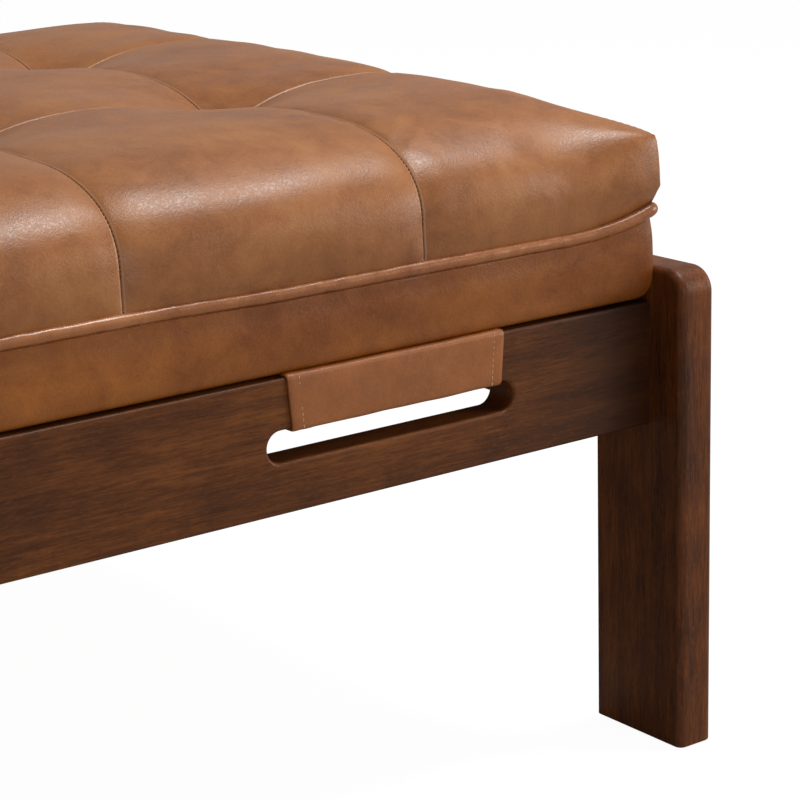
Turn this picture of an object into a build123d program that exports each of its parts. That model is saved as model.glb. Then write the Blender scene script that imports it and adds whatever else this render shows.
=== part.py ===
import math
import os

from build123d import *

# Ottoman coffee table: a tufted cushion screwed into a ring of hardwood rails on four slab legs.
# Frame: origin on the floor under the middle of the table, +X to the right, +Y to the back, +Z up.
# All lengths are millimetres. Z values named "rise" are measured from the height named with them.

# Cushion plan: columns of panels along X, rows along Y
column_pitch = 224.0
end_column = 192.0
inner_columns = 3
row_pitch = 240.0
end_row = 235.0

# Frame
side_gap = 1.0            # cushion side to the inner face of the legs
apron_height = 88.0
apron_thickness = 27.0
apron_clearance = 237.0   # floor to the lower edge of the aprons
edge_easing = 2.0         # long edges of the rails
face_gap = 0.2            # glue line and sliding fit between wooden pieces

# Legs
leg_thickness = 31.0
leg_depth = 87.5
leg_reveal = 32.5         # outer edge of the leg in front of the apron face
leg_above_apron = 25.0
leg_edge_round = 6.0      # outer and top edges
leg_crown_round = 17.5    # outer top corner, seen from the side
leg_foot_round = 1.5

# Glides under the legs
glide_radius = 11.0
glide_thickness = 2.0
glide_nail_radius = 1.2
glide_nail_length = 16.0
glide_nail_head = 3.0
glide_head_thickness = 0.8
glide_head_depth = 0.4    # nail head inside the glide
glide_clearance = 0.05

# Hand slots and leather sleeves
slot_length = 198.0
slot_height = 21.0
slot_from_leg = 221.0     # middle of the slot to the inner face of the leg
slot_rim_round = 2.5
sleeve_length = 171.0
sleeve_from_leg = 218.0
sleeve_leather = 2.0
sleeve_outer_round = 3.0
sleeve_inner_round = 1.0

# Seat support
seat_gap = 2.6            # top of the aprons to the underside of the seat
support_thickness = 18.0  # slats, ledgers and cleats, all cut from one board
ledger_width = 22.0
ledger_end_gap = 99.0     # middle of the hand slot to the end of the ledger
slat_width = 60.0
slat_pitch = 150.0
slat_count = 3
block_side = 45.0
block_foot_gap = 4.0      # underside of the corner blocks over the lower edge of the aprons

# Seat package
board_thickness = 12.0
board_inset = 14.5
leather = 1.6
dust_cover_thickness = 0.8
dust_cover_inset = 15.0
flange_inset = 33.0       # how far the bands turn in under the board
band_rise = 51.4          # underside of the seat to the top edge of the bands
piping_radius = 4.0
piping_inset = 1.5
plan_corner_round = 6.0   # panels, piping, board and dust cover
foam_corner_round = 8.0
foam_side_inset = 6.0
batting_thickness = 6.0

# Side bands, seen in section
band_top_inset = 2.0
band_foot_inset = 1.5
band_foot_rise = 5.0
band_curl_inset = 6.0
band_knuckle_share = 0.28
band_belly_share = 0.52

# Tufted top, seen in section
skirt_inset = 1.5         # lower edge of the panels
skirt_bulge = 1.5
skirt_rise = 19.0         # lower edge of the panels to the start of the roll
roll_rise = 56.0          # start of the roll to its crest
roll_run = 98.0           # front and rear outline to the crest of the roll
end_roll_run = 70.0       # the same at the two ends
roll_power = 2.45
crown_rise = 8.0          # middle row of panels over the edges
puff_rise = 4.5           # middle of a panel over its seams
ear_drop = 16.0           # crest at the plan corners under the crest elsewhere
ear_reach = 107.0         # plan corner to where the roll has its full form
ear_tightness = 0.6       # share of the roll's run that is lost at a plan corner
tuft_drop = 30.0
tuft_reach = 132.0
roll_break_share = 0.22
roll_section_shares = (0.0, 0.05, 0.16, 0.34, 0.6)
column_section_shares = (0.0, 0.2, 0.5, 0.8, 1.0)
row_break_share = 0.32
crest_run = 1.5
straight_limit = 0.01
quarter_turn = 90.0       # degrees

# Leg bolts, one pair for each leg
bolt_radius = 4.0
bolt_length = 90.0
bolt_head_radius = 6.5
bolt_head_height = 8.0
bolt_socket_radius = 3.2
bolt_socket_depth = 4.0
bolt_clearance = 0.5
bolt_from_face = 40.0     # apron face to the bolts
bolt_margin = 18.0        # rail edge to the bolts
washer_radius = 11.0
washer_thickness = 2.0
insert_radius = 6.0
insert_length = 20.0
thread_clearance = 0.05

# Dowels between the end rails and the aprons
dowel_radius = 4.0
dowel_length = 40.0
dowel_margin = 34.0
dowel_clearance = 0.05

# Wood screws
screw_radius = 2.0
screw_head_radius = 4.0
screw_head_height = 2.6
screw_clearance = 0.05
block_screw_length = 60.0
block_screw_offset = 30.0
block_screw_step = 7.0    # above and below the middle of the rail
ledger_screw_length = 38.0
ledger_screw_shares = (-0.42, -0.18, 0.18, 0.42)
cleat_screw_shares = (-0.4, 0.0, 0.4)
cleat_seat_shares = (-0.25, 0.25)
slat_screw_length = 30.0
seat_screw_length = 28.0
slat_seat_offset = 150.0

# Tufts
twine_radius = 0.9
twine_hole_radius = 1.5
tuft_washer_radius = 10.0
tuft_washer_thickness = 1.2

# Staples through dust cover, band flange and board
staple_width = 10.0
staple_wire = 0.8
staple_leg = 9.0
staple_inset = 20.0
staple_clearance = 0.05
long_staples = 12
short_staples = 8
staple_row_share = 0.9

cut_overrun = 5.0

# Derived places
cushion_length = 2 * end_column + inner_columns * column_pitch
cushion_depth = 2 * end_row + row_pitch
frame_width = cushion_length + 2 * side_gap
frame_depth = cushion_depth
half_width = frame_width / 2
half_depth = frame_depth / 2
apron_top = apron_clearance + apron_height
leg_top = apron_top + leg_above_apron
slot_z = apron_clearance + apron_height / 2
seat_bottom = apron_top + seat_gap
support_bottom = seat_bottom - support_thickness  # underside of the slats and cleats
board_bottom = seat_bottom + dust_cover_thickness + leather
board_top = board_bottom + board_thickness
band_top = seat_bottom + band_rise
piping_z = band_top + piping_radius
panel_bottom = piping_z + piping_radius
roll_start = panel_bottom + skirt_rise
inner_depth = frame_depth - 2 * apron_thickness
rail_x = half_width - apron_thickness / 2
seam_xs = [(i - inner_columns / 2) * column_pitch for i in range(inner_columns + 1)]
seam_ys = [-row_pitch / 2, row_pitch / 2]
sides = (-1, 1)

parts = {}


def box(x0, x1, y0, y1, z0, z1):
    """Box between two corners, given in any order along each axis."""
    solid = Box(abs(x1 - x0), abs(y1 - y0), abs(z1 - z0))
    return Pos((x0 + x1) / 2, (y0 + y1) / 2, (z0 + z1) / 2) * solid


def aimed(shape, point, direction):
    """Shape moved so that its origin is at point and its +Z runs along direction."""
    return Plane(origin=point, z_dir=direction).location * shape


def group(shapes):
    return Compound(children=[s for shape in shapes for s in shape.solids()])


def join(shapes):
    total = shapes[0]
    for shape in shapes[1:]:
        total = total + shape
    return total


def cut(shape, tools):
    """Shape less the tools, all in one operation."""
    return shape - list(tools)


def rod(radius, length, grow=0.0):
    """Rod from the origin down along -Z."""
    return Pos(0, 0, -length / 2) * Cylinder(radius + grow, length + grow)


def screw(length, grow=0.0):
    """Countersunk screw whose head lies flush at the origin, and whose shank runs down -Z."""
    head = Pos(0, 0, -screw_head_height / 2) * Cone(
        screw_radius + grow, screw_head_radius + grow, screw_head_height
    )
    shank_length = length - screw_head_height + grow
    shank = Pos(0, 0, -screw_head_height - shank_length / 2) * Cylinder(screw_radius + grow, shank_length)
    return head + shank


# Rails


def apron(side):
    """Long rail with two hand slots; side is -1 for the front and 1 for the rear."""
    face = side * half_depth
    inner = side * (half_depth - apron_thickness)
    rail = box(-half_width, half_width, face, inner, apron_clearance, apron_top)
    rail = fillet(rail.edges().filter_by(Axis.X), edge_easing)
    for end in sides:
        middle = end * (half_width - slot_from_leg)
        slot = Plane.XZ * SlotOverall(slot_length, slot_height)
        tool = extrude(slot, half_depth + cut_overrun, both=True)
        near = box(-half_width, half_width, face + side * cut_overrun, inner - side * cut_overrun, 0, leg_top)
        rail = rail - ((Pos(middle, 0, slot_z) * tool) & near)
        rims = [
            e
            for e in rail.edges()
            if abs(e.center().X - middle) <= slot_length / 2
            and abs(e.center().Z - slot_z) <= slot_height / 2 + straight_limit
            and (abs(e.center().Y - face) < straight_limit or abs(e.center().Y - inner) < straight_limit)
        ]
        rail = fillet(rims, slot_rim_round)
    return rail


def end_rail(side):
    """Short rail between the aprons, flush with their ends."""
    x0 = side * (half_width - apron_thickness)
    x1 = side * half_width
    y = inner_depth / 2 - face_gap
    rail = box(x0, x1, -y, y, apron_clearance, apron_top)
    return fillet(rail.edges().filter_by(Axis.Y), edge_easing)


def leg(end, side):
    """Slab leg; end is the side along X and side the side along Y."""
    height = leg_top - glide_thickness
    sketch = Plane.YZ * make_face(
        Polyline((0, 0), (leg_depth, 0), (leg_depth, height), (0, height), close=True)
    )
    corner = sketch.vertices().sort_by(lambda v: v.Z - v.Y)[-1]
    sketch = fillet(corner, leg_crown_round)
    blank = extrude(sketch, leg_thickness)
    outer = [
        e
        for e in blank.edges()
        if (abs(e.center().X) < straight_limit or abs(e.center().X - leg_thickness) < straight_limit)
        and e.center().Z > straight_limit
        and e.center().Y < leg_depth - straight_limit
    ]
    blank = fillet(outer, leg_edge_round)
    foot = [e for e in blank.edges() if abs(e.center().Z) < straight_limit]
    blank = fillet(foot, leg_foot_round)
    placed = Pos(half_width, -half_depth - leg_reveal, glide_thickness) * blank
    if side > 0:
        placed = mirror(placed, Plane.XZ)
    if end < 0:
        placed = mirror(placed, Plane.YZ)
    return placed


# Hardware places: each entry is a point and the direction that its head or open end faces


def bolt_places():
    places = []
    for end in sides:
        for side in sides:
            for z in (apron_clearance + bolt_margin, apron_top - bolt_margin):
                x = end * (half_width - apron_thickness - block_side - washer_thickness)
                places.append(((x, side * (half_depth - bolt_from_face), z), (-end, 0, 0)))
    return places


def dowel_places():
    places = []
    for end in sides:
        for side in sides:
            for z in (apron_clearance + dowel_margin, apron_top - dowel_margin):
                y = side * (inner_depth / 2 - dowel_length / 2)
                places.append(((end * rail_x, y, z), (0, -side, 0)))
    return places


def block_screw_places():
    places = []
    for end in sides:
        for side in sides:
            corner_x = end * (half_width - apron_thickness)
            corner_y = side * inner_depth / 2
            to_apron = (corner_x - end * block_screw_offset, corner_y - side * block_side, slot_z - block_screw_step)
            to_rail = (corner_x - end * block_side, corner_y - side * block_screw_offset, slot_z + block_screw_step)
            places.append((to_apron, (0, -side, 0)))
            places.append((to_rail, (-end, 0, 0)))
    return places


def ledger_length():
    return 2 * (half_width - slot_from_leg - ledger_end_gap)


def cleat_length():
    return inner_depth - 2 * block_side - 2 * face_gap


def ledger_screw_places(side):
    y = side * (inner_depth / 2 - ledger_width)
    z = support_bottom - support_thickness / 2
    return [((share * ledger_length(), y, z), (0, -side, 0)) for share in ledger_screw_shares]


def cleat_screw_places(end):
    x = end * (half_width - apron_thickness - ledger_width)
    z = seat_bottom - support_thickness / 2
    return [((x, share * cleat_length(), z), (-end, 0, 0)) for share in cleat_screw_shares]


def slat_xs():
    return [(i - (slat_count - 1) / 2) * slat_pitch for i in range(slat_count)]


def slat_screw_places():
    y = inner_depth / 2 - ledger_width / 2
    return [((x, side * y, seat_bottom), (0, 0, 1)) for x in slat_xs() for side in sides]


def seat_screw_places():
    places = [((x, side * slat_seat_offset, support_bottom), (0, 0, -1)) for x in slat_xs() for side in sides]
    x = half_width - apron_thickness - ledger_width / 2
    for end in sides:
        places += [((end * x, s * cleat_length(), support_bottom), (0, 0, -1)) for s in cleat_seat_shares]
    return places


def tuft_places():
    return [(x, y) for x in seam_xs for y in seam_ys]


def screws(places, length, grow=0.0):
    return [aimed(screw(length, grow), point, direction) for point, direction in places]


def rods(places, radius, length, grow=0.0):
    return [aimed(rod(radius, length, grow), point, direction) for point, direction in places]


def leg_bolt():
    shank = rod(bolt_radius, bolt_length)
    head = Pos(0, 0, bolt_head_height / 2) * Cylinder(bolt_head_radius, bolt_head_height)
    socket = Pos(0, 0, bolt_head_height - bolt_socket_depth) * extrude(
        RegularPolygon(bolt_socket_radius, 6), bolt_socket_depth
    )
    return shank + head - socket


# Soft form of the tufted top


def roll(run_share):
    """Rise of the roll as a share of its full rise, at a share of its run from the outline."""
    left = max(0.0, 1 - max(run_share, 0.0))
    return (1 - left**roll_power) ** (1 / roll_power)


def corner_share(in_x, in_y):
    """1 at a plan corner, falling smoothly to 0 at the reach of its ear."""
    away = min(1.0, math.hypot(in_x, in_y) / ear_reach)
    return 1 - away * away * (3 - 2 * away)


def seam_puff(position, seams, edge):
    """0 on a seam, rising to 1 midway to the next seam or at the outline."""
    nearest = min(seams, key=lambda s: abs(position - s))
    inside = seams[0] < position < seams[-1]
    half = (seams[1] - seams[0]) / 2 if inside else edge - abs(nearest)
    share = min(1.0, abs(position - nearest) / half)
    return 1 - (1 - share) ** 2


def top_z(x, y, depth):
    """Height of the top at a plan position, for the form that lies depth inside the leather."""
    half_x = cushion_length / 2 - depth
    half_y = cushion_depth / 2 - depth
    in_x, in_y = half_x - abs(x), half_y - abs(y)
    near = corner_share(in_x, in_y)
    share = roll(min(in_x / end_roll_run, in_y / roll_run) / (1 - ear_tightness * near))
    crown = crown_rise * (1 - (y / half_y) ** 2)
    puff = puff_rise * seam_puff(x, seam_xs, cushion_length / 2) * seam_puff(y, seam_ys, cushion_depth / 2)
    dip = sum(
        tuft_drop * max(0.0, 1 - math.hypot(x - tx, y - ty) / tuft_reach) ** 3 for tx, ty in tuft_places()
    )
    return roll_start + (roll_rise - ear_drop * near + crown + puff) * share - dip - depth


def bent(start, middle, end):
    """Arc through three points, or a line where they are all but straight."""
    a, b, c = Vector(*start), Vector(*middle), Vector(*end)
    chord = c - a
    sag = (b - a).cross(chord).length / chord.length
    return Line(a, c) if sag < straight_limit else ThreePointArc(a, b, c)


def corner_inset(from_end):
    """Extra inset of the outline near a plan corner."""
    left = max(0.0, plan_corner_round - from_end)
    return plan_corner_round - math.sqrt(plan_corner_round**2 - left**2)


def top_section(x, depth):
    """Closed section across the top at one X, as a wire of lines and arcs."""
    from_end = cushion_length / 2 - depth - abs(x)
    reach = cushion_depth / 2 - depth - corner_inset(from_end)
    roll_end = min(roll_break_share * roll_run, max(from_end, crest_run))
    seam = seam_ys[1]
    row_middle = (seam + cushion_depth / 2 - depth) / 2
    row_break = seam + row_break_share * (cushion_depth / 2 - seam)
    stops = [reach - roll_end, row_middle, row_break, seam, seam * (1 - row_break_share * 2), 0.0]

    def at(y):
        return (x, y, top_z(x, y, depth))

    foot = (x, reach - skirt_inset, panel_bottom)
    shoulder = (x, reach, roll_start - depth)
    belly = (x, reach + skirt_bulge, (panel_bottom + roll_start - depth) / 2)
    half = [(foot, belly, shoulder), (shoulder, at(reach - roll_end * roll_break_share), at(stops[0]))]
    for start, end in zip(stops, stops[1:]):
        half.append((at(start), at((start + end) / 2), at(end)))
    edges = [bent(*points) for points in half]
    for points in reversed(half):
        edges.append(bent(*[(px, -py, pz) for px, py, pz in reversed(points)]))
    edges.append(Line((x, -foot[1], panel_bottom), foot))
    return Wire(edges)


def column_runs(column, depth):
    """Section places of one column of panels; an end column has one run for its roll and one inside it."""
    bounds = [-cushion_length / 2] + seam_xs + [cushion_length / 2]
    left, right = bounds[column], bounds[column + 1]
    if 0 < column <= inner_columns:
        return [[left + share * (right - left) for share in column_section_shares]]
    edge = -cushion_length / 2 + depth
    over = [edge + share * end_roll_run for share in roll_section_shares]
    flat = [over[-1] + share * (seam_xs[0] - over[-1]) for share in column_section_shares]
    runs = [over, flat]
    return runs if column == 0 else [[-x for x in reversed(run)] for run in reversed(runs)]


def top_blocks(column, depth):
    """Solids that make up one column of the tufted form, depth inside the leather."""
    runs = column_runs(column, depth)
    return [loft([make_face(top_section(x, depth)) for x in run]) for run in runs]


def top_form(depth):
    return join([block for column in range(inner_columns + 2) for block in top_blocks(column, depth)])


def twine_holes():
    bottom = board_bottom - tuft_washer_thickness
    return [
        aimed(rod(twine_hole_radius, top_z(x, y, 0) - bottom), (x, y, top_z(x, y, 0)), (0, 0, 1))
        for x, y in tuft_places()
    ]


def top_panels():
    """Sewn leather panels of the top, named by row and by column from the left."""
    reach = cushion_depth
    rows = {
        "front": (-reach, seam_ys[0]),
        "middle": (seam_ys[0], seam_ys[1]),
        "rear": (seam_ys[1], reach),
    }
    panels = {}
    for column in range(inner_columns + 2):
        shell = cut(join(top_blocks(column, 0.0)), top_blocks(column, leather))
        for row, (y0, y1) in rows.items():
            strip = box(-cushion_length, cushion_length, y0, y1, 0, roll_start + cushion_depth)
            panels[f"top_panel_{row}_{column + 1}"] = shell & strip
    return panels


# Bands, piping and the flat layers of the seat


def outline(inset, corner):
    """Rounded plan outline of the cushion, drawn in by an inset."""
    return RectangleRounded(cushion_length - 2 * inset, cushion_depth - 2 * inset, corner)


def layer(inset, corner, bottom, top):
    return Pos(0, 0, bottom) * extrude(outline(inset, corner), top - bottom)


def band_curve(depth):
    """Section of a side band from its top edge to the flange, as inset and height pairs."""
    foot = seat_bottom + dust_cover_thickness
    low = foot + band_foot_rise
    belly = low + band_belly_share * (band_top - low)
    knuckle = (
        band_foot_inset + band_knuckle_share * (band_curl_inset - band_foot_inset) + depth,
        foot + band_knuckle_share * band_foot_rise + depth,
    )
    return [
        (band_top_inset + depth, band_top),
        (depth, belly),
        (band_foot_inset + depth, low),
        knuckle,
        (band_curl_inset + depth, foot + depth),
        (flange_inset, foot + depth),
    ]


def side_bands():
    """Four leather strips, joined at the plan corners and turned in under the board."""

    def at(pair):
        inset, z = pair
        return (0, -cushion_depth / 2 + inset, z)

    outer = [at(pair) for pair in band_curve(0.0)]
    inner = [at(pair) for pair in band_curve(leather)]
    section = make_face(
        Wire(
            [
                ThreePointArc(outer[0], outer[1], outer[2]),
                ThreePointArc(outer[2], outer[3], outer[4]),
                Line(outer[4], outer[5]),
                Line(outer[5], inner[5]),
                Line(inner[5], inner[4]),
                ThreePointArc(inner[4], inner[3], inner[2]),
                ThreePointArc(inner[2], inner[1], inner[0]),
                Line(inner[0], outer[0]),
            ]
        )
    )
    strip = extrude(section, cushion_length / 2, both=True)
    bands = {}
    long_side, short_side = (cushion_length, cushion_depth), (cushion_depth, cushion_length)
    for turn, name in enumerate(("front", "right", "rear", "left")):
        along, across = short_side if turn % 2 else long_side
        low = -across / 2
        wedge = Polyline(
            (-along / 2, low),
            (along / 2, low),
            (along / 2 - flange_inset, low + flange_inset),
            (flange_inset - along / 2, low + flange_inset),
            close=True,
        )
        placed = Pos(0, (cushion_depth - across) / 2, 0) * strip
        band = placed & extrude(make_face(wedge), band_top + cut_overrun)
        bands[f"band_{name}"] = cut(Rot(0, 0, turn * quarter_turn) * band, staple_holes())
    return bands


def piping():
    """Covered cord that closes the seam between the bands and the top."""
    path = Pos(0, 0, piping_z) * outline(piping_inset, plan_corner_round - piping_inset).wire()
    disc = Pos(0, -cushion_depth / 2 + piping_inset, piping_z) * (Plane.YZ * Circle(piping_radius))
    return sweep(disc, path=path)


def staple_places():
    """Plan places of the staples; each has the axis that its crown lies along."""
    x_edge = cushion_length / 2 - staple_inset
    y_edge = cushion_depth / 2 - staple_inset
    places = []
    for side in sides:
        for i in range(long_staples):
            share = staple_row_share * (2 * i / (long_staples - 1) - 1)
            places.append((share * x_edge, side * y_edge, 0))
        for i in range(short_staples):
            share = staple_row_share * (2 * i / (short_staples - 1) - 1)
            places.append((side * x_edge, share * y_edge, 1))
    return places


def staple_legs(grow=0.0):
    size = staple_wire + 2 * grow
    height = staple_leg + grow
    legs = []
    for x, y, across in staple_places():
        for side in sides:
            shift = side * (staple_width - staple_wire) / 2
            spot = (x, y + shift) if across else (x + shift, y)
            legs.append(Pos(*spot, seat_bottom + height / 2) * Box(size, size, height))
    return legs


def staple_holes():
    return [leg_hole + Pos(0, 0, -cut_overrun) * leg_hole for leg_hole in staple_legs(staple_clearance)]


def staples():
    solids = []
    legs = staple_legs()
    for i, (x, y, across) in enumerate(staple_places()):
        size = (staple_wire, staple_width) if across else (staple_width, staple_wire)
        crown = Pos(x, y, seat_bottom - staple_wire / 2) * Box(*size, staple_wire)
        solids.append(crown + legs[2 * i] + legs[2 * i + 1])
    return solids


def sleeve(end, side):
    """Leather sleeve round the bar over a hand slot."""
    bar_foot = slot_z + slot_height / 2
    height = apron_top - bar_foot
    outer = RectangleRounded(
        apron_thickness + 2 * sleeve_leather, height + 2 * sleeve_leather, sleeve_outer_round
    )
    inner = RectangleRounded(apron_thickness, height, sleeve_inner_round)
    tube = extrude(Plane.YZ * (outer - inner), sleeve_length / 2, both=True)
    x = end * (half_width - sleeve_from_leg)
    y = side * (half_depth - apron_thickness / 2)
    return Pos(x, y, (apron_top + bar_foot) / 2) * tube


# Frame pieces

bolt_holes = rods(bolt_places(), bolt_radius, bolt_length, bolt_clearance)
dowel_holes = rods(dowel_places(), dowel_radius, dowel_length, dowel_clearance)
block_screw_holes = screws(block_screw_places(), block_screw_length, screw_clearance)
seat_screw_holes = screws(seat_screw_places(), seat_screw_length, screw_clearance)
slat_screw_holes = screws(slat_screw_places(), slat_screw_length, screw_clearance)
ledger_screw_places_all = {side: ledger_screw_places(side) for side in sides}
cleat_screw_places_all = {end: cleat_screw_places(end) for end in sides}

for side, side_name in zip(sides, ("front", "rear")):
    ledger_holes = screws(ledger_screw_places_all[side], ledger_screw_length, screw_clearance)
    holes = dowel_holes + block_screw_holes + ledger_holes
    parts[f"{side_name}_apron"] = cut(apron(side), holes)
    y0 = side * inner_depth / 2
    ledger = box(
        -ledger_length() / 2,
        ledger_length() / 2,
        y0,
        y0 - side * ledger_width,
        support_bottom - support_thickness,
        support_bottom,
    )
    parts[f"{side_name}_ledger"] = cut(ledger, ledger_holes + slat_screw_holes)

insert_places = [
    ((end * half_width, side * (half_depth - bolt_from_face), z), (-end, 0, 0))
    for end in sides
    for side in sides
    for z in (apron_clearance + bolt_margin, apron_top - bolt_margin)
]
insert_holes = rods(insert_places, insert_radius, insert_length, thread_clearance)
foot_places = [
    ((end * (half_width + leg_thickness / 2), side * (half_depth + leg_reveal - leg_depth / 2)))
    for end in sides
    for side in sides
]
nail_places = [((x, y, glide_head_depth), (0, 0, -1)) for x, y in foot_places]
nail_holes = rods(nail_places, glide_nail_radius, glide_nail_length, glide_clearance)

for end, end_name in zip(sides, ("left", "right")):
    cleat_holes = screws(cleat_screw_places_all[end], ledger_screw_length, screw_clearance)
    holes = bolt_holes + dowel_holes + block_screw_holes + cleat_holes
    parts[f"{end_name}_end_rail"] = cut(end_rail(end), holes)
    x0 = end * (half_width - apron_thickness)
    cleat = box(
        x0,
        x0 - end * ledger_width,
        -cleat_length() / 2,
        cleat_length() / 2,
        seat_bottom - support_thickness,
        seat_bottom,
    )
    parts[f"{end_name}_cleat"] = cut(cleat, cleat_holes + seat_screw_holes)
    for side, side_name in zip(sides, ("front", "rear")):
        parts[f"leg_{side_name}_{end_name}"] = cut(leg(end, side), insert_holes + nail_holes)
        parts[f"handle_sleeve_{side_name}_{end_name}"] = sleeve(end, side)

blocks = []
for end in sides:
    for side in sides:
        x0 = end * (half_width - apron_thickness)
        y0 = side * inner_depth / 2
        foot = apron_clearance + block_foot_gap
        blocks.append(box(x0, x0 - end * block_side, y0, y0 - side * block_side, foot, seat_bottom))
parts["corner_blocks"] = group([cut(block, bolt_holes + block_screw_holes) for block in blocks])

slat_reach = inner_depth / 2 - face_gap
slats = [
    box(x - slat_width / 2, x + slat_width / 2, -slat_reach, slat_reach, support_bottom, seat_bottom)
    for x in slat_xs()
]
parts["cross_slats"] = group([cut(slat, slat_screw_holes + seat_screw_holes) for slat in slats])

# Fasteners

parts["rail_dowels"] = group(rods(dowel_places(), dowel_radius, dowel_length))
parts["block_screws"] = group(screws(block_screw_places(), block_screw_length))
parts["leg_bolts"] = group([aimed(leg_bolt(), point, way) for point, way in bolt_places()])
washer = Pos(0, 0, -washer_thickness / 2) * (
    Cylinder(washer_radius, washer_thickness) - Cylinder(bolt_radius + bolt_clearance, washer_thickness)
)
parts["bolt_washers"] = group([aimed(washer, point, way) for point, way in bolt_places()])
thread = rod(insert_radius, insert_length) - rod(bolt_radius, insert_length, thread_clearance)
parts["leg_inserts"] = group([aimed(thread, point, way) for point, way in insert_places])
ledger_places = [place for side in sides for place in ledger_screw_places_all[side]]
cleat_places = [place for end in sides for place in cleat_screw_places_all[end]]
parts["ledger_screws"] = group(screws(ledger_places, ledger_screw_length))
parts["cleat_screws"] = group(screws(cleat_places, ledger_screw_length))
parts["slat_screws"] = group(screws(slat_screw_places(), slat_screw_length))
parts["seat_screws"] = group(screws(seat_screw_places(), seat_screw_length))

nail = rod(glide_nail_radius, glide_nail_length) + rod(glide_nail_head, glide_head_thickness)
parts["glide_nails"] = group([aimed(nail, point, way) for point, way in nail_places])
glide = Pos(0, 0, glide_thickness / 2) * Cylinder(glide_radius, glide_thickness)
pocket_depth = glide_head_depth + glide_head_thickness
pocket = Cylinder(glide_nail_head + glide_clearance, 2 * pocket_depth)
glide = glide - pocket - Cylinder(glide_nail_radius + glide_clearance, 2 * glide_thickness)
parts["leg_glides"] = group([Pos(x, y, 0) * glide for x, y in foot_places])

# Seat package

holes = twine_holes() + seat_screw_holes
seat_staple_holes = staple_holes()
board = layer(board_inset, plan_corner_round, board_bottom, board_top)
parts["seat_board"] = cut(board, holes + seat_staple_holes)
dust_cover = layer(dust_cover_inset, plan_corner_round, seat_bottom, seat_bottom + dust_cover_thickness)
parts["dust_cover"] = cut(dust_cover, seat_screw_holes + seat_staple_holes)
base = layer(foam_side_inset, foam_corner_round, board_top, panel_bottom)
parts["base_foam"] = cut(base, twine_holes())
core = top_form(leather + batting_thickness)
parts["top_foam"] = cut(core, twine_holes())
parts["batting"] = cut(top_form(leather) - core, twine_holes())
parts.update(top_panels())
parts.update(side_bands())
parts["piping"] = piping()
parts["seat_staples"] = group(staples())

twines = []
tuft_washers = []
for x, y in tuft_places():
    foot = board_bottom - tuft_washer_thickness
    head = top_z(x, y, leather)
    twines.append(Pos(x, y, (foot + head) / 2) * Cylinder(twine_radius, head - foot))
    disc = Cylinder(tuft_washer_radius, tuft_washer_thickness) - Cylinder(
        twine_hole_radius, tuft_washer_thickness
    )
    tuft_washers.append(Pos(x, y, board_bottom - tuft_washer_thickness / 2) * disc)
parts["tuft_twines"] = group(twines)
parts["tuft_washers"] = group(tuft_washers)

os.makedirs("parts", exist_ok=True)
for name, shape in parts.items():
    export_step(shape, os.path.join("parts", f"{name}.step"))
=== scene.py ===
import math

import bpy
import numpy as np
from mathutils import Matrix, Vector


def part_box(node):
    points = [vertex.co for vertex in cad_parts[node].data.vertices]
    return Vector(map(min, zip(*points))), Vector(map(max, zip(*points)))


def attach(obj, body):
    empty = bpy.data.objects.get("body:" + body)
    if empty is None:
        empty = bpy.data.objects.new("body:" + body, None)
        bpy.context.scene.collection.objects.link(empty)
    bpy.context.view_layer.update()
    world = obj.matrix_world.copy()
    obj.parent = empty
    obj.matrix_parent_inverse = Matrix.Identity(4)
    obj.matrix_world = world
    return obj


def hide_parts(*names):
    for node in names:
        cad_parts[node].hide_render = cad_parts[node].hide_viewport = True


# Looks of the ottoman coffee table: tufted leather cushion, piping, bands, sleeves, stained hardwood.
# Lengths in the shape code are millimetres; meshes and lights are in metres, in the frame of the solids.

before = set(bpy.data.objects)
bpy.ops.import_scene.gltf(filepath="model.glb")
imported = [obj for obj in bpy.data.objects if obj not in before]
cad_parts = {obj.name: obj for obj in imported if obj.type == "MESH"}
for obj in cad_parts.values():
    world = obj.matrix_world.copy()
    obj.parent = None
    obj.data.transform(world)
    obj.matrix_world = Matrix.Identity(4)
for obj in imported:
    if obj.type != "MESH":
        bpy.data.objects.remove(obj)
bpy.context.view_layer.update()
MM = 0.001

apron_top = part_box("front_apron")[1].z / MM
seat_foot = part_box("dust_cover")[0].z / MM

# Cushion plan
half_length = 528.0
half_depth = 355.0
seam_xs = (-336.0, -112.0, 112.0, 336.0)
seam_ys = (-120.0, 120.0)
tufts = [(x, y) for x in seam_xs for y in seam_ys]
plan_corner = 3.0

# Heights of the cushion
band_top = seat_foot + 51.4
foot_z = band_top + 6.8     # lower edge of the panels
shoulder_z = foot_z + 20.2  # where the roll begins

# Roll round the top's edge
roll_rise = 56.0
roll_run = 98.0             # outline to the crest, front and rear
end_roll_run = 70.0         # outline to the crest at the ends
roll_power = 2.45

# Forms of the top inside the roll
crown_rise = 8.0
back_rise = 4.2             # the rear of the top stands this much over the front
back_start = -100.0         # Y where that rise begins
back_run = 350.0
puff_rise = 2.2
tuft_drop = 30.0
tuft_reach = 132.0
tuft_power = 3
side_bulge = 2.2            # panels stand out this much between seams

# Plan corners: what stands out of the plain outline there
corner_reach = 85.0
corner_stand = 7.4
piping_stand = 4.2
piping_swell = 0.7
band_stand = 4.6
corner_tuck = 5.0           # the foot of the panels goes in this much more at the corners
corner_turn = 25.0          # the way out turns over this much of each side
ear_reach = 107.0           # corner to where the roll has its full size
ear_tightness = 0.98        # share of the roll's run that is lost at the corner
ear_drop = 24.5
ear_power = 1.15

# Skirt: the panels below the roll
skirt_inset = 1.5
skirt_bulge = 1.0
skirt_shares = (0.12, 0.3, 0.5, 0.7, 0.86, 0.95, 1.0)
under_inset = 9.0           # the closed underside begins this far behind the skirt
under_drop = 0.5

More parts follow.
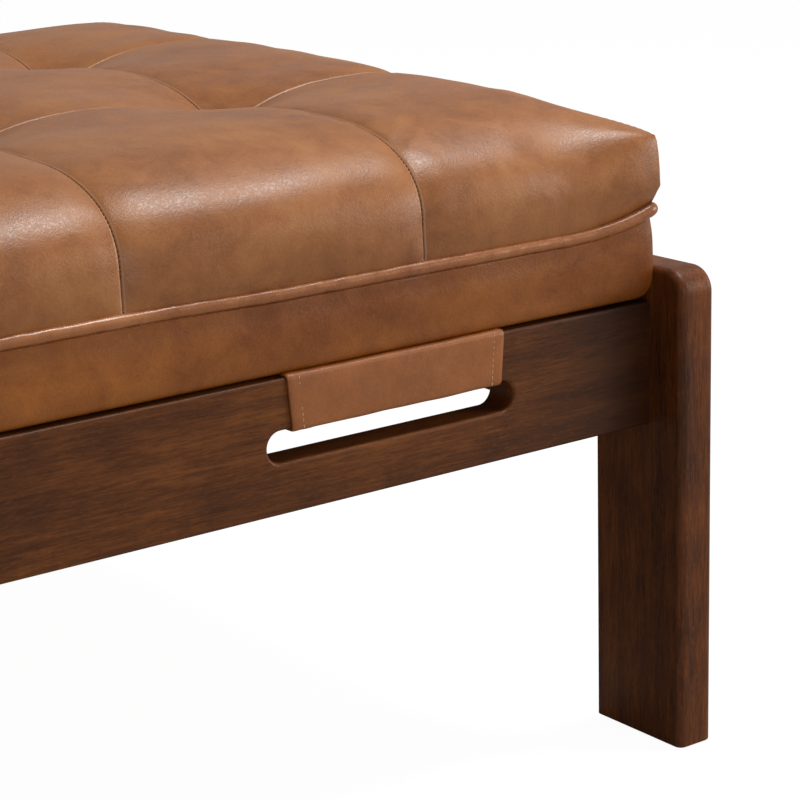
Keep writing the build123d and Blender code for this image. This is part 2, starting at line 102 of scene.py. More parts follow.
# Seams of the top: depth and width of each nested groove
hollow = (1.8, 12.0)
valley = (0.7, 3.0)
slit = (1.3, 0.6)
hollow_fade = (-4.0, 16.0)  # the wide hollow begins this far over foot_z, and is full after that rise
stitch_height = 0.65        # stitches over the bottom of the slit
seam_offsets = (0.6, 1.3, 2.4, 4.0, 6.5, 10.0)
seam_clear = 6.0            # the leather is even up to this distance from a seam
wrinkle_reach = 26.0        # small wrinkles fade over this distance from a seam

# Grid steps
top_step = 4.2
cloth_step = 7.0
filling_step = 12.0
filling_depth = 9.0         # filling under the leather's outside
filling_lift = 0.4          # filling over the seat board

# Blowing up of the panels
blow_steps = 20
blow_limit = 8.0
held_round_tufts = 26.0
slack_reach = 30.0
blow_shares = (0.35, 0.7, 1.0)  # rings of the skirt in the simulation

# Piping and bands
path_step = 4.0
same_place = 0.05           # places of a path this near each other are one
piping_z = band_top + 4.0
piping_radius = 4.2
piping_inset = 1.5
piping_sides = 18
lift_corner = 7.2           # the piping line stands this much over piping_z at the corners
lift_low = -4.7
lift_middle = -2.9
lift_run = 75.0             # corner to where the line is low
lift_power = 2.1
lift_back = (300.0, 90.0)   # where the line starts to rise again to the middle, and over what run
band_foot_z = seat_foot + 0.8
band_flange = 33.0
band_insets = np.array([2.0, 1.2, 0.3, 0.1, 0.5, 0.9, 1.7, 3.8, 7.5])
band_heights = np.array([22.0, 12.0, 6.0, 2.0, -0.8, -1.8])
band_points = 19
mitre_pinch = (0.9, 1.8)    # the ends of a band go in this much, over this length
leather = 1.6

# Sleeves
sleeve_x = 311.0
sleeve_half = 85.5
sleeve_side = sleeve_half - 8.5  # middle of a sleeve to its row of stitches
bar_low, bar_high = apron_top - 33.5, apron_top
apron_face = 355.0
apron_thickness = 27.0
sleeve_leather = 2.0
sleeve_gap = 0.15           # sleeve to bar
sleeve_round = 1.5
sleeve_taper = 0.035        # share by which a sleeve is narrower at the foot of its bar

sides = (-1, 1)


# Numbers along the surface


def eased(t):
    t = np.clip(t, 0.0, 1.0)
    return t * t * (3 - 2 * t)


def roll(run_share):
    """Rise of the roll as a share of its full rise, at a share of its run from the outline."""
    left = np.clip(1 - run_share, 0.0, 1.0)
    return (1 - left**roll_power) ** (1 / roll_power)


def seam_away(place, seams):
    """Distance to the nearest seam."""
    return np.min([np.abs(place - s) for s in seams], axis=0)


def seam_puff(place, seams, edge):
    """0 on a seam, rising to 1 midway to the next seam or at the outline."""
    inner = np.abs(place) < seams[-1]
    half = np.where(inner, (seams[1] - seams[0]) / 2, edge - seams[-1])
    return 1 - (1 - np.clip(seam_away(place, seams) / half, 0.0, 1.0)) ** 2


def lift(along):
    """Rise of the piping line; along is the distance to the nearest plan corner."""
    back_from, back_over = lift_back
    low = lift_low + (lift_middle - lift_low) * eased((along - back_from) / back_over)
    return low + (lift_corner - low) * np.clip(1 - along / lift_run, 0.0, 1.0) ** lift_power


def stand_out(from_corner, most):
    """How far a piece stands out of the plain outline near a plan corner."""
    return most * (1 - eased(from_corner / corner_reach))


def ripple(points, size, seed, waves=14):
    """Smooth unevenness from -1 to 1 whose bumps are about size across."""
    chance = np.random.default_rng(seed)
    total = np.zeros(points.shape[:-1])
    for _ in range(waves):
        way = chance.normal(size=3)
        way /= np.linalg.norm(way)
        turn = 2 * math.pi / (size * chance.uniform(0.7, 1.6))
        total += np.cos(points @ way * turn + chance.uniform(0, 2 * math.pi))
    return total / math.sqrt(waves)


# Mesh making


def make_piece(name, points, faces, material):
    """Smooth mesh object of the table from points in millimetres."""
    mesh = bpy.data.meshes.new(name)
    mesh.from_pydata((np.asarray(points) * MM).tolist(), [], [list(map(int, f)) for f in faces])
    mesh.validate()
    mesh.materials.append(material)
    mesh.shade_smooth()
    piece = bpy.data.objects.new(name, mesh)
    bpy.context.scene.collection.objects.link(piece)
    return piece


def quads(rows, columns, close_rows=False, close_columns=False):
    """Quads of a grid of points kept row by row."""
    r = np.arange(rows if close_rows else rows - 1)[:, None]
    c = np.arange(columns if close_columns else columns - 1)[None, :]
    r1, c1 = (r + 1) % rows, (c + 1) % columns
    corners = [r * columns + c, r * columns + c1, r1 * columns + c1, r1 * columns + c]
    return np.stack([np.broadcast_to(k, (r.size, c.size)) for k in corners], axis=-1).reshape(-1, 4)


def set_normals(points, faces):
    """Point normals of a quad mesh."""
    a, b, c, d = (points[faces[:, i]] for i in range(4))
    face_way = np.cross(c - a, d - b)
    total = np.zeros_like(points)
    for i in range(4):
        np.add.at(total, faces[:, i], face_way)
    return total / np.maximum(np.linalg.norm(total, axis=1, keepdims=True), 1e-9)


def numbers(piece, name, values):
    """Give a piece a number at each of its points."""
    attribute = piece.data.attributes.new(name, "FLOAT", "POINT")
    attribute.data.foreach_set("value", np.asarray(values, np.float32))


# Cushion top


def cross_lines(half, run, seams, step, offsets):
    """Grid places from edge to edge: even along the surface, and closer beside the seams."""
    out = run * np.linspace(0.0, 1.0, 3001)
    up = roll_rise * roll(out / run)
    length = np.concatenate([[0.0], np.cumsum(np.hypot(np.diff(out), np.diff(up)))])
    over = np.interp(np.linspace(0, length[-1], round(length[-1] / step) + 1), length, out)
    flat = np.linspace(run - half, half - run, round(2 * (half - run) / step) + 1)
    places = np.concatenate([-half + over, flat[1:-1], half - over[::-1]])
    clear = max(offsets, default=0.0) + step / 2
    for seam in seams:
        places = places[np.abs(places - seam) > clear]
        places = np.concatenate([places, [seam], [seam + s * o for o in offsets for s in sides]])
    return np.sort(places)


def grid_lines(step, offsets=()):
    """Grid places of the top along X and along Y."""
    along_x = cross_lines(half_length, end_roll_run, seam_xs, step, offsets)
    return along_x, cross_lines(half_depth, roll_run, seam_ys, step, offsets)


def outline_turn(inset, along, front_side, corner):
    """Angle of the outward way from the nearer side's normal, at a plan place."""
    step = np.clip((along - inset) / np.maximum(corner, 1e-6), 0.0, 1.0)
    turn = math.pi / 4 * (1 - step)
    return np.where(front_side, turn, math.pi / 2 - turn)


def top_surface(flat_x, flat_y, depth=0.0):
    """Points of the tufted top for flat plan places, depth inside the leather."""
    in_x, in_y = half_length - np.abs(flat_x), half_depth - np.abs(flat_y)
    inset, along = np.minimum(in_x, in_y), np.maximum(in_x, in_y)
    front_side = in_y <= in_x
    corner = np.maximum(plan_corner - inset, 0.0)
    turn = outline_turn(inset, along, front_side, corner)
    rounded = along - inset < corner
    x = np.where(rounded, half_length - inset - corner + corner * np.sin(turn), np.abs(flat_x))
    y = np.where(rounded, half_depth - inset - corner + corner * np.cos(turn), np.abs(flat_y))
    from_corner = np.hypot(in_x, in_y)
    near = 1 - eased(from_corner / ear_reach)
    share = roll(np.minimum(in_x / end_roll_run, in_y / roll_run) / (1 - ear_tightness * near))
    crown = crown_rise * (1 - (y / half_depth) ** 2)
    crown = crown + back_rise * eased((flat_y - back_start) / back_run)
    puff_x = seam_puff(flat_x, seam_xs, half_length)
    puff_y = seam_puff(flat_y, seam_ys, half_depth)
    dip = sum(
        tuft_drop * np.clip(1 - np.hypot(flat_x - tx, flat_y - ty) / tuft_reach, 0, 1) ** tuft_power
        for tx, ty in tufts
    )
    rise = roll_rise - ear_drop * np.clip(1 - from_corner / ear_reach, 0.0, 1.0) ** ear_power
    z = shoulder_z + rise * share + (crown + puff_rise * puff_x * puff_y) * share - dip
    out_turn = outline_turn(inset, along, front_side, np.maximum(corner, corner_turn))
    bulge = side_bulge * np.where(front_side, puff_x, puff_y)
    out = stand_out(from_corner, corner_stand) + bulge * (1 - share**2) - depth * (1 - share)
    x = x + out * np.sin(out_turn)
    y = y + out * np.cos(out_turn)
    signs_x, signs_y = np.where(flat_x < 0, -1, 1), np.where(flat_y < 0, -1, 1)
    return np.stack([signs_x * x, signs_y * y, z - depth * share], axis=-1)


def edge_ring(rows, columns):
    """Indices round the outside of a grid, anticlockwise seen from above; rows run along Y."""
    low = np.arange(columns)
    right = np.arange(1, rows) * columns + columns - 1
    high = (rows - 1) * columns + np.arange(columns - 2, -1, -1)
    left = np.arange(rows - 2, 0, -1) * columns
    return np.concatenate([low, right, high, left])


def lid(xs, ys, depth, wall_shares, moved=None):
    """Closed form of the top with its skirt: points, quads, the cap's ring, and the flat place of each
    point. moved is a shift of each point of the grid."""
    flat_x, flat_y = np.meshgrid(xs, ys)
    top = top_surface(flat_x, flat_y, depth)
    if moved is not None:
        top = top + moved
    rows, columns = flat_x.shape
    points = [top.reshape(-1, 3)]
    flats = [np.stack([flat_x, flat_y], -1).reshape(-1, 2)]
    ring = edge_ring(rows, columns)
    faces = [quads(rows, columns)]
    edge = points[0][ring]
    plan, edge_z = edge[:, :2], edge[:, 2]
    ring_flat = flats[0][ring]
    ring_x, ring_y = ring_flat[:, 0], ring_flat[:, 1]
    in_x, in_y = half_length - np.abs(ring_x), half_depth - np.abs(ring_y)
    front_side = in_y <= in_x
    along = np.maximum(in_x, in_y)
    turn = outline_turn(np.minimum(in_x, in_y), along, front_side, np.full(len(ring), plan_corner))
    way = np.stack([np.sin(turn) * np.sign(ring_x), np.cos(turn) * np.sign(ring_y)], -1)
    puff_x = seam_puff(ring_x, seam_xs, half_length)
    puff_y = seam_puff(ring_y, seam_ys, half_depth)
    bulge = side_bulge * np.where(front_side, puff_x, puff_y)
    foot = foot_z + lift(along)
    walls = []
    for share in wall_shares:
        belly = skirt_bulge * (1 - stand_out(along, 1.0)) * 4 * share * (1 - share)
        out = belly - bulge * share**2 - (skirt_inset + stand_out(along, corner_tuck)) * share
        walls.append((out, edge_z + (foot - edge_z) * share))
    walls.append((-bulge - skirt_inset - under_inset, foot - under_drop))
    before, start = ring, len(points[0])
    for out, z in walls:
        points.append(np.column_stack([plan + way * out[:, None], z]))
        flats.append(ring_flat)
        here = start + np.arange(len(ring))
        faces.append(np.stack([before, here, np.roll(here, -1), np.roll(before, -1)], -1))
        before, start = here, start + len(ring)
    return np.concatenate(points), np.concatenate(faces), here[::-1], np.concatenate(flats)


def blown_shift(xs, ys):
    """Shift of the top's grid points when a cloth simulation blows up the panels against their seams."""
    coarse_x, coarse_y = grid_lines(cloth_step)
    points, faces, _, flats = lid(coarse_x, coarse_y, 0.0, blow_shares)
    sheet = make_piece("blown_panels", points, faces, bpy.data.materials.new("blank"))
    away = np.minimum(seam_away(flats[:, 0], seam_xs), seam_away(flats[:, 1], seam_ys))
    grid_count = len(coarse_x) * len(coarse_y)
    held = np.where(away < 1.0, 1.0, 0.0)
    for tx, ty in tufts:
        from_tuft = np.hypot(flats[:, 0] - tx, flats[:, 1] - ty)
        held = np.maximum(held, 1 - eased(from_tuft / held_round_tufts))
    skirt_count = len(points) - grid_count
    held[grid_count + skirt_count // 2 :] = 1.0
    hold = sheet.vertex_groups.new(name="hold")
    slack = sheet.vertex_groups.new(name="slack")
    for i, value in enumerate(held):
        if value > 0:
            hold.add([i], float(value), "REPLACE")
    for i, value in enumerate(np.exp(-away / slack_reach)):
        slack.add([i], float(value), "REPLACE")
    cloth = sheet.modifiers.new("Blow", "CLOTH")
    settings = cloth.settings
    settings.quality = 6
    settings.mass = 0.4
    settings.tension_stiffness = 25
    settings.compression_stiffness = 12
    settings.shear_stiffness = 8
    settings.bending_stiffness = 0.6
    settings.vertex_group_mass = "hold"
    settings.pin_stiffness = 1.0
    settings.use_pressure = True
    settings.uniform_pressure_force = 3.0
    settings.vertex_group_shrink = "slack"
    settings.shrink_min = 0.0
    settings.shrink_max = -0.035
    settings.effector_weights.gravity = 0
    cloth.collision_settings.use_collision = False
    scene = bpy.context.scene
    cloth.point_cache.frame_start, cloth.point_cache.frame_end = 1, blow_steps
    for number in range(1, blow_steps + 1):
        scene.frame_set(number)
    scene_view = bpy.context.evaluated_depsgraph_get()
    result = bpy.data.meshes.new_from_object(sheet.evaluated_get(scene_view))
    blown = np.empty(len(points) * 3, np.float32)
    result.vertices.foreach_get("co", blown)
    scene.frame_set(1)
    shift = (blown.reshape(-1, 3) / MM - points)[:grid_count]
    shift = shift.reshape(len(coarse_y), len(coarse_x), 3)
    size = np.linalg.norm(shift, axis=-1, keepdims=True)
    shift = shift * np.minimum(1.0, blow_limit / np.maximum(size, 1e-6))
    bpy.data.objects.remove(sheet)
    return smooth_read(smooth_read(shift, coarse_y, ys), coarse_x, xs, axis=1)


def smooth_read(grid, known, wanted, axis=0):
    """Values of a grid between its lines along one axis, on a smooth curve through them."""
    grid = np.moveaxis(grid, axis, 0)
    spot = np.interp(wanted, known, np.arange(len(known)))
    first = np.clip(np.floor(spot).astype(int), 0, len(known) - 2)
    t = (spot - first)[:, None, None]
    a, b, c, d = (grid[np.clip(first + k, 0, len(known) - 1)] for k in (-1, 0, 1, 2))
    value = b + 0.5 * t * (c - a + t * (2 * a - 5 * b + 4 * c - d + t * (3 * (b - c) + d - a)))
    return np.moveaxis(value, 0, axis)


# Shader trees


class Value:
    """An output of a shader node that takes Python's arithmetic."""

    def __init__(self, finish, socket):
        self.finish, self.socket = finish, socket

    def sum_with(self, operation, first, second):
        """Result of a sum with two terms."""
        return self.finish.node("ShaderNodeMath", {"operation": operation}, {0: first, 1: second})[0]

    def __add__(self, other):
        return self.sum_with("ADD", self, other)

    def __sub__(self, other):
        return self.sum_with("SUBTRACT", self, other)

    def __rsub__(self, other):
        return self.sum_with("SUBTRACT", other, self)

    def __mul__(self, other):
        return self.sum_with("MULTIPLY", self, other)

    __radd__ = __add__
    __rmul__ = __mul__

    def larger(self, other):
        return self.sum_with("MAXIMUM", self, other)

    def size(self):
        """The value without its sign."""
        return self.finish.node("ShaderNodeMath", {"operation": "ABSOLUTE"}, {0: self})[0]

    def between(self, low, high):
        """0 at low, 1 at high, held there outside."""
        settings = {"clamp": True, "interpolation_type": "SMOOTHSTEP"}
        return self.finish.node("ShaderNodeMapRange", settings, {0: self, 1: low, 2: high})[0]


class Finish:
    """A material, or the world, whose tree is written node by node."""

    def __init__(self, name, owners=bpy.data.materials):
        self.owner = owners.new(name)
        self.owner.use_nodes = True
        self.tree = self.owner.node_tree
        self.tree.nodes.clear()

    def node(self, kind, settings=None, values=None):
        """New node; its outputs come back in a list. values are numbers, colours or Values by socket."""
        made = self.tree.nodes.new(kind)
        for key, setting in (settings or {}).items():
            if key == "stops":
                self.set_stops(made.color_ramp, setting)
            else:
                setattr(made, key, setting)
        for key, value in (values or {}).items():
            socket = made.inputs[key]
            if isinstance(value, Value):
                self.tree.links.new(value.socket, socket)
            else:
                socket.default_value = value
        return [Value(self, s) for s in made.outputs]

    def set_stops(self, ramp, stops):
        """Places and colours of a colour ramp."""
        while len(ramp.elements) < len(stops):
            ramp.elements.new(0.5)
        for element, (place, shade) in zip(ramp.elements, stops):
            element.position = place
            element.color = shade

    def place(self, stretch=(1, 1, 1), shift=(0, 0, 0)):
        """Place in the piece's own frame, in metres, times stretch and moved by shift."""
        own = self.node("ShaderNodeTexCoord")[3]
        return self.node("ShaderNodeMapping", {}, {"Vector": own, "Scale": stretch, "Location": shift})[0]

    def noise(self, place, scale, detail=3.0, rough=0.55, bend=0.0):
        values = {"Vector": place, "Scale": scale, "Detail": detail, "Roughness": rough, "Distortion": bend}
        return self.node("ShaderNodeTexNoise", {}, values)[0]

    def ramp(self, value, stops):
        return self.node("ShaderNodeValToRGB", {"stops": stops}, {0: value})[0]

    def mix(self, share, first, second):
        """Colour mix."""
        return self.node("ShaderNodeMix", {"data_type": "RGBA"}, {0: share, 6: first, 7: second})[2]

    def bump(self, height, strength, distance, under=None):
        values = {"Height": height, "Strength": strength, "Distance": distance}
        if under is not None:
            values["Normal"] = under
        return self.node("ShaderNodeBump", {}, values)[0]

    def ray_kinds(self):
        """1 for the rays of a kind, and 0 for all others, by the kind's name."""
        return {value.socket.name: value for value in self.node("ShaderNodeLightPath")}

    def surface(self, colour, rough, normal, gloss=0.5, metal=0.0):
        """The finished material from the values of its surface."""
        values = {"Base Color": colour, "Roughness": rough, "Normal": normal}
        values |= {"Specular IOR Level": gloss, "Metallic": metal}
        shader = self.node("ShaderNodeBsdfPrincipled", {}, values)[0]
        self.node("ShaderNodeOutputMaterial", {}, {"Surface": shader})
        return self.owner


def linear(level):
    """Linear value of a screen value from 0 to 255."""
    share = level / 255
    return share / 12.92 if share <= 0.04045 else ((share + 0.055) / 1.055) ** 2.4


def tone(red, green, blue):
    """Linear colour from screen values."""
    return linear(red), linear(green), linear(blue), 1.0


def caramel_leather(name, light, middle, dark, roughness, grain=0.3, gloss=0.5, seams=False):
    """Two-tone leather with a pulled-up sheen, fine wrinkled grain and shallow creases; with seams, a
    painted highlight along each seam's lips and painted shade in its slit.
    """
    f = Finish(name)
    place = f.place()
    broad = f.noise(place, 9.0, 3.0, 0.6, 0.3)
    blotch = f.noise(f.place(shift=(3.1, 1.7, 0.4)), 42.0, 5.0, 0.65, 0.6)
    fine = f.noise(place, 520.0, 3.0, 0.6)
    cloud = broad * 0.4 + blotch * 0.42 + fine * 0.18
    colour = f.ramp(cloud, [(0.37, dark), (0.5, middle), (0.63, light)])
    folds = f.noise(f.place(shift=(1.3, 0.6, 2.2)), 370.0, 1.5, 0.5, 0.7)
    wrinkle = (folds - 0.5).size().between(0.0, 0.13)
    # Painted shade: the colour darkens along the grain's crease lines, standing in for their shadow.
    colour = f.mix((1 - wrinkle) * 0.12, colour, dark)
    crease = f.noise(f.place(shift=(0.7, 0.2, 0.9)), 60.0, 3.0, 0.55, 1.2)
    normal = f.bump(crease, 0.22, 0.0009)
    normal = f.bump(wrinkle * 0.6 + fine * 0.4, grain, 0.0005, normal)
    rough = roughness + (blotch - 0.5) * 0.25 - (wrinkle - 0.5) * 0.06
    if seams:
        away = f.node("ShaderNodeAttribute", {"attribute_name": "seam_away"})[2]
        # Painted highlight: the colour pales along both lips of each seam.
        edge = (1 - away.between(0.8, 2.2)) * away.between(0.3, 0.8)
        # Painted shade: the colour darkens in the slit at the bottom of each seam.
        slit = 1 - away.between(0.0, 0.7)
        colour = f.mix(edge * 0.6, colour, tone(206, 158, 120))
        colour = f.mix(slit * 0.6, colour, tone(76, 38, 20))
    return f.surface(colour, rough, normal, gloss)


def stained_wood(name, grain_axis, shift, light, middle, dark, shaded_ends=None):
    """Dark stained hardwood; grain_axis is the axis that the fibres run along. Painted shade, standing in
    for the shadow that the legs throw, darkens the wood towards both ends, between two distances from the
    middle, in metres, that the last argument gives."""
    f = Finish(name)

    def stretched(along, across):
        scale = [across, across, across]
        scale[grain_axis] = along
        return f.place(scale, shift)

    board = f.noise(stretched(1.6, 14.0), 1.0, 3.0, 0.55, 0.5)
    figure = f.noise(stretched(6.0, 70.0), 1.0, 4.0, 0.6, 0.3)
    streak = f.noise(stretched(34.0, 520.0), 1.0, 3.0, 0.6)
    fleck = f.noise(stretched(190.0, 1300.0), 1.0, 2.0, 0.5)
    cloudy = f.noise(f.place(shift=shift), 13.0, 5.0, 0.65, 0.4)
    body = board * 0.24 + figure * 0.24 + streak * 0.26 + cloudy * 0.26
    colour = f.ramp(body, [(0.38, dark), (0.5, middle), (0.64, light)])
    pore = 1 - fleck.between(0.32, 0.44)
    colour = f.mix(pore * 0.4, colour, dark)
    spark = fleck.between(0.57, 0.7)
    colour = f.mix(spark * 0.28, colour, light)
    # Painted shade: darker towards the ends, where the legs throw their shadow on the apron.
    if shaded_ends:
        away = f.node("ShaderNodeSeparateXYZ", {}, {0: f.place()})[grain_axis].size()
        leg_shadow = (away + (cloudy - 0.5) * 0.1).between(*shaded_ends)
        colour = f.mix(leg_shadow * 0.75, colour, tone(30, 13, 6))
    normal = f.bump(fleck * 0.6 + streak * 0.4, 0.16, 0.00015)
    rough = 0.42 + (streak - 0.5) * 0.22 + pore * 0.1
    return f.surface(colour, rough, normal, 0.22)


def plain_wood(name, grain_axis, light, middle, dark):
    """Unfinished pale hardwood of the hidden pieces."""
    f = Finish(name)
    scale = [150.0] * 3
    scale[grain_axis] = 6.0
    line = f.noise(f.place(scale, (0.2, 0.5, 0.1)), 1.0, 4.0, 0.6, 0.4)
    cloudy = f.noise(f.place(), 14.0, 3.0)
    colour = f.ramp(line * 0.65 + cloudy * 0.35, [(0.35, dark), (0.5, middle), (0.65, light)])
    return f.surface(colour, 0.68 + (line - 0.5) * 0.2, f.bump(line, 0.3, 0.0002))


def plywood(name):
    """Pale plies, darker on every second one, seen on the edge of the board."""
    f = Finish(name)
    plies = 1000.0 / 1.7
    height = f.node("ShaderNodeSeparateXYZ", {}, {0: f.place((1.0, 1.0, plies))})[2]
    ply = f.node("ShaderNodeMath", {"operation": "PINGPONG"}, {0: height, 1: 1.0})[0].between(0.35, 0.65)
    line = f.noise(f.place((9.0, 190.0, 190.0)), 1.0, 4.0, 0.6)
    cloudy = f.noise(f.place((4.0, 4.0, 1000.0)), 1.0, 2.0)
    colour = f.ramp(line * 0.7 + cloudy * 0.3, [(0.35, tone(176, 140, 100)), (0.65, tone(216, 186, 146))])
    colour = f.mix(ply * 0.3, colour, tone(140, 104, 70))
    return f.surface(colour, 0.7 + line * 0.1, f.bump(line, 0.25, 0.0002))


def nonwoven(name):
    """Black bonded fibre cloth with a grid of pressed dots."""
    f = Finish(name)
    fibre = f.noise(f.place(), 900.0, 3.0, 0.7)
    grid = {"Vector": f.place(), "Scale": 480.0, "Randomness": 0.0}
    dots = f.node("ShaderNodeTexVoronoi", {}, grid)[0].between(0.25, 0.42)
    colour = f.ramp(fibre, [(0.3, tone(20, 20, 21)), (0.7, tone(48, 47, 47))])
    return f.surface(colour, 0.85 + (fibre - 0.5) * 0.1, f.bump(fibre * 0.5 + dots, 0.5, 0.0003))


def zinc(name):
    """Zinc plated steel with a faint cloudy passivation."""
    f = Finish(name)
    cloudy = f.noise(f.place(), 320.0, 3.0, 0.6, 0.5)
    scratch = f.noise(f.place((900.0, 120.0, 900.0)), 1.0, 2.0)
    colour = f.ramp(cloudy, [(0.35, tone(150, 150, 148)), (0.65, tone(196, 196, 188))])
    rough = 0.32 + (scratch - 0.5) * 0.25
    return f.surface(colour, rough, f.bump(scratch, 0.1, 0.0001), metal=1.0)


def glide_plastic(name):
    """Dark matt plastic with fine specks."""
    f = Finish(name)
    speck = f.noise(f.place(), 1500.0, 2.0, 0.6)
    colour = f.ramp(speck, [(0.3, tone(34, 30, 28)), (0.7, tone(58, 52, 48))])
    return f.surface(colour, 0.55 + (speck - 0.5) * 0.2, f.bump(speck, 0.15, 0.0002))


def thread(name, light, dark):
    """Twisted sewing thread."""
    f = Finish(name)
    twist = f.noise(f.place((2600.0, 2600.0, 2600.0)), 1.0, 2.0, 0.5, 1.0)
    colour = f.ramp(twist, [(0.35, dark), (0.65, light)])
    return f.surface(colour, 0.65 + (twist - 0.5) * 0.2, f.bump(twist, 0.4, 0.0002), 0.2)


def fill_fibre(name):
    """White polyester wadding round the foam."""
    f = Finish(name)
    fibre = f.noise(f.place(), 260.0, 5.0, 0.75, 1.5)
    colour = f.ramp(fibre, [(0.3, tone(208, 206, 200)), (0.7, tone(240, 239, 235))])
    return f.surface(colour, 0.9 + (fibre - 0.5) * 0.1, f.bump(fibre, 0.6, 0.001))


top_tones = (tone(168, 110, 59), tone(154, 95, 47), tone(131, 77, 34))
band_tones = (tone(160, 94, 30), tone(142, 79, 23), tone(120, 62, 17))
piping_tones = (tone(176, 115, 70), tone(160, 99, 56), tone(136, 79, 42))
sleeve_tones = (tone(166, 99, 45), tone(152, 88, 38), tone(132, 73, 30))
top_leather = caramel_leather("top_leather", *top_tones, 0.42, 0.17, 0.46, seams=True)
band_leather = caramel_leather("band_leather", *band_tones, 0.44, 0.2, 0.36)
piping_leather = caramel_leather("piping_leather", *piping_tones, 0.3, 0.1)
sleeve_finish = caramel_leather("sleeve_leather", *sleeve_tones, 0.46, 0.14)
wood_tones = (tone(132, 76, 31), tone(92, 49, 18), tone(54, 28, 10))
leg_tones = (tone(138, 77, 29), tone(96, 49, 17), tone(50, 25, 9))
apron_wood = stained_wood("apron_wood", 0, (0.3, 0.8, 0.5), *wood_tones, (0.39, 0.52))
end_wood = stained_wood("end_rail_wood", 1, (1.3, 0.2, 0.7), *wood_tones)
leg_wood = stained_wood("leg_wood", 2, (2.1, 1.4, 0.3), *leg_tones)
pale = (tone(206, 176, 134), tone(184, 150, 108), tone(154, 118, 80))
wood_along = [plain_wood(f"plain_wood_{name}", axis, *pale) for axis, name in enumerate(("x", "y", "z"))]
board_wood = plywood("seat_plywood")
cover_cloth = nonwoven("dust_cover_cloth")
steel = zinc("zinc_steel")
glide_finish = glide_plastic("glide_plastic")
pale_thread = thread("pale_thread", tone(226, 196, 164), tone(188, 152, 118))
seam_thread = thread("seam_thread", tone(112, 60, 30), tone(78, 38, 17))
tuft_twine = thread("tuft_twine", tone(196, 184, 160), tone(150, 138, 116))
wadding = fill_fibre("wadding")

for names, finish in (
    (("front_apron", "rear_apron"), apron_wood),
    (("left_end_rail", "right_end_rail"), end_wood),
    (("leg_front_left", "leg_front_right", "leg_rear_left", "leg_rear_right"), leg_wood),
    (("front_ledger", "rear_ledger"), wood_along[0]),
    (("left_cleat", "right_cleat", "cross_slats"), wood_along[1]),
    (("corner_blocks", "rail_dowels"), wood_along[2]),
    (("seat_board",), board_wood),
    (("dust_cover",), cover_cloth),
    (("block_screws", "leg_bolts", "bolt_washers", "leg_inserts", "ledger_screws"), steel),
    (("cleat_screws", "slat_screws", "seat_screws", "glide_nails"), steel),
    (("tuft_washers", "seat_staples"), steel),
    (("leg_glides",), glide_finish),
    (("tuft_twines",), tuft_twine),
):
    for name in names:
        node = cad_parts[name]
        if not node.material_slots:
            node.data.materials.append(finish)
        for holder in node.material_slots:
            holder.link = "OBJECT"
            holder.material = finish


# Cushion top and its filling

xs, ys = grid_lines(top_step, seam_offsets)
shift = blown_shift(xs, ys)
points, faces, cap, flats = lid(xs, ys, 0.0, skirt_shares, shift)
away = np.minimum(seam_away(flats[:, 0], seam_xs), seam_away(flats[:, 1], seam_ys))
normals = set_normals(points, faces)
fade_from, fade_over = hollow_fade
hollow_share = eased((points[:, 2] - foot_z - fade_from) / fade_over)
sunk = sum(
    share * depth * np.exp(-((away / width) ** 2))
    for share, (depth, width) in ((hollow_share, hollow), (1.0, valley), (1.0, slit))
)
near_seam = np.exp(-away / wrinkle_reach)
uneven = 0.55 * ripple(points, 70.0, 3) + 0.3 * ripple(points, 24.0, 5) * near_seam
out = uneven * eased(away / seam_clear) - sunk
out[-len(cap) :] = 0.0
points = points + normals * out[:, None]
cushion_top = make_piece("cushion_top", points, list(faces) + [cap], top_leather)
numbers(cushion_top, "seam_away", away)
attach(cushion_top, "root")
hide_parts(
    *[f"top_panel_{row}_{i}" for row in ("front", "middle", "rear") for i in range(1, 6)]
)

points, faces, cap, _ = lid(*grid_lines(filling_step), filling_depth, (0.5, 1.0))
points[-len(cap) :, 2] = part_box("seat_board")[1].z / MM + filling_lift
fill_body = make_piece("cushion_filling", points, list(faces) + [cap], wadding)
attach(fill_body, "root")
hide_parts("batting", "top_foam", "base_foam")


# Outline of the cushion as a path

# Way along each side, way out of it, its half length and its distance from the middle
side_ways = {
    "front": (np.array([1.0, 0.0]), np.array([0.0, -1.0]), half_length, half_depth),
    "right": (np.array([0.0, 1.0]), np.array([1.0, 0.0]), half_depth, half_length),
    "rear": (np.array([-1.0, 0.0]), np.array([0.0, 1.0]), half_length, half_depth),
    "left": (np.array([0.0, -1.0]), np.array([-1.0, 0.0]), half_depth, half_length),
}


def outline_path(step):
    """Places round the cushion's outline, anticlockwise from the front left corner's middle:
    plan point at inset 0, outward way, distance to the nearest corner, and the side's name."""
    rows = []
    arc = np.linspace(math.pi / 4, 0, 7)
    for name, (along, outward, half, other) in side_ways.items():
        straight = half - plan_corner

        def bent(end, angle):
            way = outward * math.cos(angle) + end * along * math.sin(angle)
            place = end * along * straight + outward * (other - plan_corner) + way * plan_corner
            return place, way, plan_corner * (1 - math.sin(angle)), name

        rows += [bent(-1, angle) for angle in arc[:-1]]
        for s in np.linspace(-straight, straight, round(2 * straight / step) + 1):
            rows.append((along * s + outward * other, outward, half - abs(s), name))
        rows += [bent(1, angle) for angle in arc[::-1][1:]]
    return rows


# Piping

